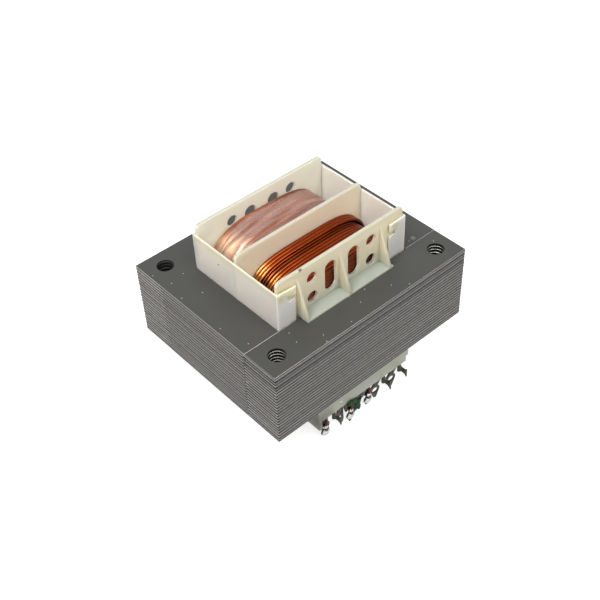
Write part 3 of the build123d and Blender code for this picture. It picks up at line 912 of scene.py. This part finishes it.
def wind_primary(settings):
    """The primary as a band of fine ridges, one for each turn that shows, which wander a little."""
    depth = 6 * MM
    margin = 0.25 * MM
    drift = 0.16 * MM
    waves = 2.5
    patch = 1.2 * MM
    swelling = 0.12 * MM
    ridge_shape = ((0.0, 0.9), (0.25, 0.2), (0.75, 0.2))
    shape = bmesh.new()
    low = PRIMARY_LOW.y + margin
    high = PRIMARY_HIGH.y - margin
    half_height = (PRIMARY_HIGH.z - PRIMARY_LOW.z) / 2
    turns = round((PRIMARY_HIGH.y - PRIMARY_LOW.y) / settings.fine_wire)
    width = (high - low) / turns
    ridge = settings.fine_wire / 2
    outer = []
    for turn in range(turns):
        outer += [(low + (turn + share) * width, -ridge * drop) for share, drop in ridge_shape]
    profile = outer + [(high, -ridge), (high, -depth), (low, -depth)]

    def wander(turn, y):
        place = Vector((waves * math.cos(turn), y / patch, waves * math.sin(turn)))
        elsewhere = place * 0.8 + Vector((7, 0, 0))
        return drift * noise.noise(place), swelling * (noise.noise(elsewhere) - 1)

    wound_band(shape, profile, PRIMARY_HIGH.x, half_height, settings.primary_squareness, wander)
    copper = fine_copper(settings, "fine_enamelled_copper")
    new_piece("primary_turns", shape, [copper], "primary_copper", "primary_winding")


def wrap_film(settings):
    """The film as a thin band with shallow creases."""
    thickness = 0.06 * MM
    crease = 0.06 * MM
    waves = 5
    patch = 1.6 * MM
    slack = 0.16 * MM
    columns = 26
    shape = bmesh.new()
    half_width = FILM_HIGH.x - slack
    half_height = (FILM_HIGH.z - FILM_LOW.z) / 2 - slack
    width = FILM_HIGH.y - FILM_LOW.y
    row = [FILM_LOW.y + width * column / columns for column in range(columns + 1)]
    profile = [(y, 0.0) for y in row] + [(y, -thickness) for y in reversed(row)]

    def wander(turn, y):
        place = Vector((waves * math.cos(turn), y / patch, waves * math.sin(turn)))
        return 0.0, crease * noise.noise(place)

    wound_band(shape, profile, half_width, half_height, settings.primary_squareness, wander)
    new_piece("primary_wrap", shape, [clear_film(settings)], "clear_film", "primary_film")


class TRANSFORMER_OT_primary(bpy.types.Operator):
    """Wind the fine primary and wrap it in film"""
    bl_idname = "transformer.primary"
    bl_label = "Wind primary"

    def execute(self, context):
        settings = context.scene.transformer_windings
        wind_primary(settings)
        wrap_film(settings)
        return {"FINISHED"}


# Tags, leads and sleeve
def tinned_brass(settings):
    """Stamped brass strip, tinned and handled: dull grey metal with darker flux stains."""
    stain = 1.2 * MM
    material, tree, shader = new_material("dull_tinned_brass", metallic=0.9, roughness=0.42)
    mottle(tree, shader, stain, 4.0, scaled(settings.tin, 0.35), settings.tin)
    return material


def tag_places(settings, number):
    """X of a front tag's eyelet leg and of its fork leg."""
    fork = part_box(f"front_tag_{number}")[1].x - settings.strip / 2
    return fork - LEG_PITCH, fork


def bend_tag(shape, settings, number):
    """Bend a front tag's legs as handling has left them: a twisted or leaning eyelet, a drooping fork."""
    twist, slant, lean, droop = TAG_BENDS[number]
    eye_x, fork_x = tag_places(settings, number)
    between = fork_x - settings.strip
    for share in (0.0, 0.25, 0.5, 0.75, 1.0):
        cut = (0.0, 0.0, RAIL_BOTTOM - share * NECK_LENGTH)
        bmesh.ops.bisect_plane(shape, geom=shape.verts[:] + shape.edges[:] + shape.faces[:], plane_co=cut,
                               plane_no=(0.0, 0.0, 1.0))
    for vertex in shape.verts:
        depth = max(0.0, RAIL_BOTTOM - vertex.co.z)
        across = vertex.co.x - eye_x
        out = vertex.co.y - TAG_PLANE
        if vertex.co.x < between:
            share = min(1.0, depth / NECK_LENGTH)
            turn = math.radians(twist) * share
            shift = slant * MM * (1 - share) - lean * depth
            vertex.co.x = eye_x + across * math.cos(turn) - out * math.sin(turn) + shift
            vertex.co.y = TAG_PLANE + across * math.sin(turn) + out * math.cos(turn)
        elif number in HANGING_FORKS and out < -settings.strip * 0.7:
            left, forward, root_width, loss = HANGING_FORKS[number]
            fall = FORK_FALL * out
            width = root_width + loss * out / MM
            vertex.co = Vector((fork_x + (vertex.co.z - FORK_MIDDLE) * width + left * fall,
                                TAG_PLANE - HANG_FRONT + vertex.co.x - fork_x + forward * fall,
                                FORK_MIDDLE + HANG_LIFT + fall))
        else:
            vertex.co.z += droop * min(0.0, out)


class TRANSFORMER_OT_tags(bpy.types.Operator):
    """Set the solder tags under the core"""
    bl_idname = "transformer.tags"
    bl_label = "Set tags"

    def execute(self, context):
        settings = context.scene.transformer_terminals
        tin = tinned_brass(settings)
        shapes = {f"rear_tag_{number}": shape_of(f"rear_tag_{number}") for number in REAR_TAG_NUMBERS}
        for number in TAG_BENDS:
            node = f"front_tag_{number}"
            shapes[node] = shape_of(node)
            bend_tag(shapes[node], settings, number)
        for node, shape in shapes.items():
            piece = new_piece(f"{node}_strip", shape, [tin], "tinned_tags", node)
            round_edges(piece, settings.tag_radius)
        return {"FINISHED"}


def bright_solder(settings):
    """Tin-lead solder that has flowed and set: bright, smooth, a little grained and rippled."""
    ripple = 0.6 * MM
    material, tree, shader = new_material("bright_solder", metallic=1.0, roughness=0.2)
    ripples = mottle(tree, shader, ripple, 2.0, scaled(settings.solder, 0.7), settings.solder)
    relief = add(tree, "ShaderNodeBump", {"Distance": 0.05 * MM, "Height": ripples})
    tree.links.new(relief.outputs["Normal"], shader.inputs["Normal"])
    return material


def burnt_flux(settings):
    """Rosin flux, charred by the iron: almost black, brown where it is thin, glassy."""
    patch = 0.4 * MM
    material, tree, shader = new_material("burnt_rosin_flux", roughness=0.35, ior=1.54)
    mottle(tree, shader, patch, 2.0, scaled(settings.flux, 0.3), settings.flux)
    return material


def scraped_copper(settings):
    """End of a lead, scraped bare by hand: dull red copper with burnt enamel left on it."""
    patch = 0.7 * MM
    material, tree, shader = new_material("scraped_copper", metallic=0.8, roughness=0.5)
    mottle(tree, shader, patch, 3.0, scaled(settings.scraped, 0.25), settings.scraped)
    return material


def uneven_drop(shape, centre, size, taper, lump=0.12):
    """Uneven drop that narrows downwards, with its half sizes in millimetres and lumps of its own."""
    lumps = 1.7
    apart = 900
    ball = bmesh.ops.create_icosphere(shape, subdivisions=4, radius=1.0)["verts"]
    for vertex in ball:
        way = vertex.co.copy()
        swell = 1 + lump * noise.noise(way * lumps + centre * apart)
        narrow = 1 + taper * min(0.0, way.z)
        reach = Vector((way.x * size[0] * narrow, way.y * size[1] * narrow, way.z * size[2]))
        vertex.co = centre + reach * swell * MM


def smooth_path(corners, steps):
    """Points of a smooth curve through a row of corners."""
    padded = [corners[0]] + corners + [corners[-1]]
    points = []
    for before, start, end, after in zip(padded, padded[1:], padded[2:], padded[3:]):
        for step in range(steps):
            t = step / steps
            bend = 2 * before - 5 * start + 4 * end - after
            turn = 3 * start - before - 3 * end + after
            points.append(0.5 * (2 * start + (end - before) * t + bend * t * t + turn * t ** 3))
    return points + [corners[-1]]


def solder_joint(solder, flux, strands, settings, x, y):
    """Lead end soldered to a leg: the strand, a bead over a charred pit, and a drop with charred edges."""
    eye = Vector((x, y, EYE_HEIGHT))
    for shape, drops in ((solder, SOLDER_DROPS), (flux, FLUX_DROPS)):
        for place, size, taper in drops:
            uneven_drop(shape, eye + Vector(place) * MM, size, taper)
    corners = [eye + Vector(place) * MM for place in STRAND_BENDS]
    corners.append(Vector((x, y, RAIL_BOTTOM)) + Vector(STRAND_END) * MM)
    sweep_wire(strands, smooth_path(corners, 6), settings.strand / 2)


def cut_lead(shape, y_end):
    """Cut a lead off in front of the given place and close its end."""
    geometry = shape.verts[:] + shape.edges[:] + shape.faces[:]
    cut = bmesh.ops.bisect_plane(shape, geom=geometry, plane_co=(0.0, y_end, 0.0), plane_no=(0.0, -1.0, 0.0),
                                 clear_outer=True)["geom_cut"]
    bmesh.ops.triangle_fill(shape, edges=[item for item in cut if isinstance(item, bmesh.types.BMEdge)])
    return shape


class TRANSFORMER_OT_leads(bpy.types.Operator):
    """Lead the windings out to the tags and solder them"""
    bl_idname = "transformer.leads"
    bl_label = "Solder leads"

    def execute(self, context):
        settings = context.scene.transformer_terminals
        copper = enamelled_copper(context.scene.transformer_windings, "enamelled_copper_leads")
        strands, solder, flux = bmesh.new(), bmesh.new(), bmesh.new()
        for lead, (number, leg, right, out) in enumerate(JOINTS, 1):
            node = f"secondary_lead_{lead}"
            joint_y = TAG_PLANE + out * MM
            new_piece(f"{node}_wire", cut_lead(shape_of(node), joint_y), [copper], "secondary_copper", node,
                      sharp=math.radians(60))
            joint_x = tag_places(settings, number)[leg] + right * MM
            solder_joint(solder, flux, strands, settings, joint_x, joint_y)
        fine = fine_copper(context.scene.transformer_windings, "fine_copper_leads")
        for node in [f"primary_lead_{number}" for number in (1, 2)]:
            new_piece(f"{node}_wire", shape_of(node), [fine], "primary_copper", node, sharp=math.radians(60))
        uneven_drop(solder, Vector((SPLASH_X, BLOCK_FRONT, SPLASH_Z)), SPLASH_SIZE, 0.0)
        for x, below, size in CHARRED:
            uneven_drop(flux, Vector((x * MM, TAG_PLANE - HANG_FRONT, RAIL_BOTTOM - below * MM)), size, 0.3)
        new_piece("scraped_lead_ends", strands, [scraped_copper(settings)], "secondary_copper")
        new_piece("solder_drops", solder, [bright_solder(settings)], "tinned_tags")
        new_piece("charred_flux", flux, [burnt_flux(settings)], "tinned_tags")
        return {"FINISHED"}


def soft_sleeving(settings):
    """Soft green PVC tube, cut by hand and scorched by the iron: satin, uneven, darker in patches."""
    patch = 0.9 * MM
    material, tree, shader = new_material("green_pvc_sleeving", roughness=0.6, specular_ior_level=0.25)
    place = add(tree, "ShaderNodeTexCoord").outputs["Object"]
    patches = add(tree, "ShaderNodeTexNoise", {"Vector": place, "Scale": 1 / patch, "Detail": 4.0})
    spread = add(tree, "ShaderNodeMapRange", {"Value": patches, "From Min": 0.35, "From Max": 0.65})
    tone = add(tree, "ShaderNodeMix", {"Factor": spread, "A": scaled(settings.sleeve, 0.15),
                                       "B": settings.sleeve}, data_type="RGBA")
    tree.links.new(tone.outputs["Result"], shader.inputs["Base Color"])
    relief = add(tree, "ShaderNodeBump", {"Distance": 0.1 * MM, "Height": patches})
    tree.links.new(relief.outputs["Normal"], shader.inputs["Normal"])
    return material


def pull_sleeve(settings):
    """Flat tube over the eyelet of one tag, with a ragged lower end, and its slack end on the next lead."""
    steps = 48
    levels = 9
    ragged = 0.8 * MM
    dent = 0.06 * MM
    shape = bmesh.new()
    middle = (SLEEVE_LOW + SLEEVE_HIGH) / 2
    half = (SLEEVE_HIGH - SLEEVE_LOW) / 2
    lean = TAG_BENDS[SLEEVED_TAG][2]

    def ring(share, inset):
        row = []
        for step in range(steps):
            turn = 2 * math.pi * step / steps
            across = math.cos(turn)
            out = math.sin(turn)
            fray = ragged * (1 - share) ** 2 * (1 + noise.noise(Vector((3 * across, 3 * out, 0))))
            wave = dent * abs(noise.noise(Vector((2 * across, 2 * out, share * 4))))
            height = SLEEVE_LOW.z + share * 2 * half.z + fray
            x = middle.x + (half.x - inset - wave) * fuller(across, 0.6)
            y = middle.y + (half.y - inset - wave) * fuller(out, 0.8)
            row.append(shape.verts.new((x - lean * max(0.0, RAIL_BOTTOM - height), y, height)))
        return row

    outer, inner = [[ring(level / levels, inset) for level in range(levels + 1)]
                    for inset in (0.0, settings.sleeve_wall)]
    for first, second in zip(outer, outer[1:]):
        bridge(shape, first, second)
    for first, second in zip(inner, inner[1:]):
        bridge(shape, second, first)
    bridge(shape, inner[0], outer[0])
    bridge(shape, outer[-1], inner[-1])
    root = Vector((tag_places(settings, min(HANGING_FORKS))[1], TAG_PLANE, FORK_MIDDLE))
    for place, size in SLACK_SLEEVE:
        uneven_drop(shape, root + Vector(place) * MM, size, 0.0, lump=0.35)
    new_piece("green_sleeve_tube", shape, [soft_sleeving(settings)], "green_sleeve", "green_sleeve")


class TRANSFORMER_OT_sleeve(bpy.types.Operator):
    """Pull the green sleeve over a tag"""
    bl_idname = "transformer.sleeve"
    bl_label = "Pull sleeve"

    def execute(self, context):
        pull_sleeve(context.scene.transformer_terminals)
        return {"FINISHED"}


# Stage
def shown_to_camera(tree):
    """Share 1 for what the camera sees, also in reflections and through clear pieces, and 0 elsewhere."""
    path = add(tree, "ShaderNodeLightPath")
    seen = add(tree, "ShaderNodeMath", {0: path.outputs["Is Camera Ray"], 1: path.outputs["Is Glossy Ray"]},
               operation="MAXIMUM")
    return add(tree, "ShaderNodeMath", {0: seen, 1: path.outputs["Is Transmission Ray"]}, operation="MAXIMUM")


def pale_floor(settings):
    """Matt white card: white to the camera and in reflections, with the part's soft shadow."""
    material, tree, shader = new_material("white_card", roughness=0.9)
    shader.inputs["Base Color"].default_value = settings.floor
    shader.inputs["Emission Color"].default_value = linear("#FFFFFF")
    glow = add(tree, "ShaderNodeMath", {0: shown_to_camera(tree), 1: FLOOR_GLOW}, operation="MULTIPLY")
    tree.links.new(glow.outputs["Value"], shader.inputs["Emission Strength"])
    return material


def white_world():
    """White surroundings to the camera and in reflections, and even soft light elsewhere."""
    world = bpy.data.worlds.new("white_room")
    bpy.context.scene.world = world
    world.use_nodes = True
    tree = world.node_tree
    background = tree.nodes["Background"]
    background.inputs["Color"].default_value = linear("#FFFFFF")
    strength = add(tree, "ShaderNodeMapRange", {"Value": shown_to_camera(tree), "To Min": AMBIENT})
    tree.links.new(strength.outputs["Result"], background.inputs["Strength"])


def direction(azimuth, elevation):
    """Way from the part to a place round and above it, with the front at azimuth 0."""
    flat = math.cos(elevation)
    return Vector((math.sin(azimuth) * flat, -math.cos(azimuth) * flat, math.sin(elevation)))


def add_lamp(name, azimuth, elevation, distance, width, height, power):
    """Soft lamp that points at the middle of the core."""
    lamp = bpy.data.lights.new(name, "AREA")
    lamp.shape = "RECTANGLE"
    lamp.size = width
    lamp.size_y = height
    lamp.energy = power
    out = direction(math.radians(azimuth), math.radians(elevation))
    thing = bpy.data.objects.new(name, lamp)
    thing.location = Vector((0, 0, CORE_MIDDLE)) + out * distance
    thing.rotation_mode = "QUATERNION"
    thing.rotation_quaternion = (-out).to_track_quat("-Z", "Y")
    bpy.context.scene.collection.objects.link(thing)


def add_camera(settings):
    """Camera at the photograph's place and tilt."""
    back = direction(settings.azimuth, settings.elevation)
    right = Vector((math.cos(settings.azimuth), math.sin(settings.azimuth), 0.0))
    up = back.cross(right)
    rolled_right = right * math.cos(settings.roll) + up * math.sin(settings.roll)
    rolled_up = up * math.cos(settings.roll) - right * math.sin(settings.roll)
    data = bpy.data.cameras.new("camera")
    data.lens = settings.lens
    data.clip_start = 5 * MM
    camera = bpy.data.objects.new("camera", data)
    place = Vector((settings.target_x, settings.target_y, CORE_TOP)) + back * settings.distance
    turned = Matrix((rolled_right, rolled_up, back)).transposed().to_4x4()
    camera.matrix_world = Matrix.Translation(place) @ turned
    bpy.context.scene.collection.objects.link(camera)
    bpy.context.scene.camera = camera


class TRANSFORMER_OT_stage(bpy.types.Operator):
    """Set the floor, the light and the camera"""
    bl_idname = "transformer.stage"
    bl_label = "Set stage"

    def execute(self, context):
        settings = context.scene.transformer_stage
        context.scene.view_settings.view_transform = "Standard"
        shape = bmesh.new()
        bmesh.ops.create_grid(shape, x_segments=2, y_segments=2, size=FLOOR_HALF)
        mesh = bpy.data.meshes.new("floor")
        shape.to_mesh(mesh)
        shape.free()
        mesh.materials.append(pale_floor(settings))
        floor = bpy.data.objects.new("floor", mesh)
        floor.location.z = CAD_BOX[0].z
        context.scene.collection.objects.link(floor)
        white_world()
        for name, lamp in LAMPS.items():
            add_lamp(name, *lamp)
        add_camera(settings)
        return {"FINISHED"}


OPERATORS = (
    TRANSFORMER_OT_core,
    TRANSFORMER_OT_bobbin,
    TRANSFORMER_OT_shrouds,
    TRANSFORMER_OT_secondary,
    TRANSFORMER_OT_primary,
    TRANSFORMER_OT_tags,
    TRANSFORMER_OT_leads,
    TRANSFORMER_OT_sleeve,
    TRANSFORMER_OT_stage,
)


class TRANSFORMER_PT_panel(bpy.types.Panel):
    """The transformer's pieces, in the order in which they are made"""
    bl_idname = "TRANSFORMER_PT_panel"
    bl_label = "Mains transformer"
    bl_space_type = "VIEW_3D"
    bl_region_type = "UI"
    bl_category = "Transformer"

    def draw(self, context):
        for operator in OPERATORS:
            self.layout.operator(operator.bl_idname)
        for attribute, group in GROUPS.items():
            box = self.layout.box()
            for name in group.__annotations__:
                box.prop(getattr(context.scene, attribute), name)


def register():
    for group in GROUPS.values():
        bpy.utils.register_class(group)
    for attribute, group in GROUPS.items():
        setattr(bpy.types.Scene, attribute, PointerProperty(type=group))
    for operator in OPERATORS:
        bpy.utils.register_class(operator)
    bpy.utils.register_class(TRANSFORMER_PT_panel)


def unregister():
    bpy.utils.unregister_class(TRANSFORMER_PT_panel)
    for operator in reversed(OPERATORS):
        bpy.utils.unregister_class(operator)
    for attribute in GROUPS:
        delattr(bpy.types.Scene, attribute)
    for group in reversed(list(GROUPS.values())):
        bpy.utils.unregister_class(group)


def main():
    register()
    for operator in OPERATORS:
        getattr(bpy.ops.transformer, operator.bl_idname.split(".")[1])()


if __name__ == "__main__":
    main()
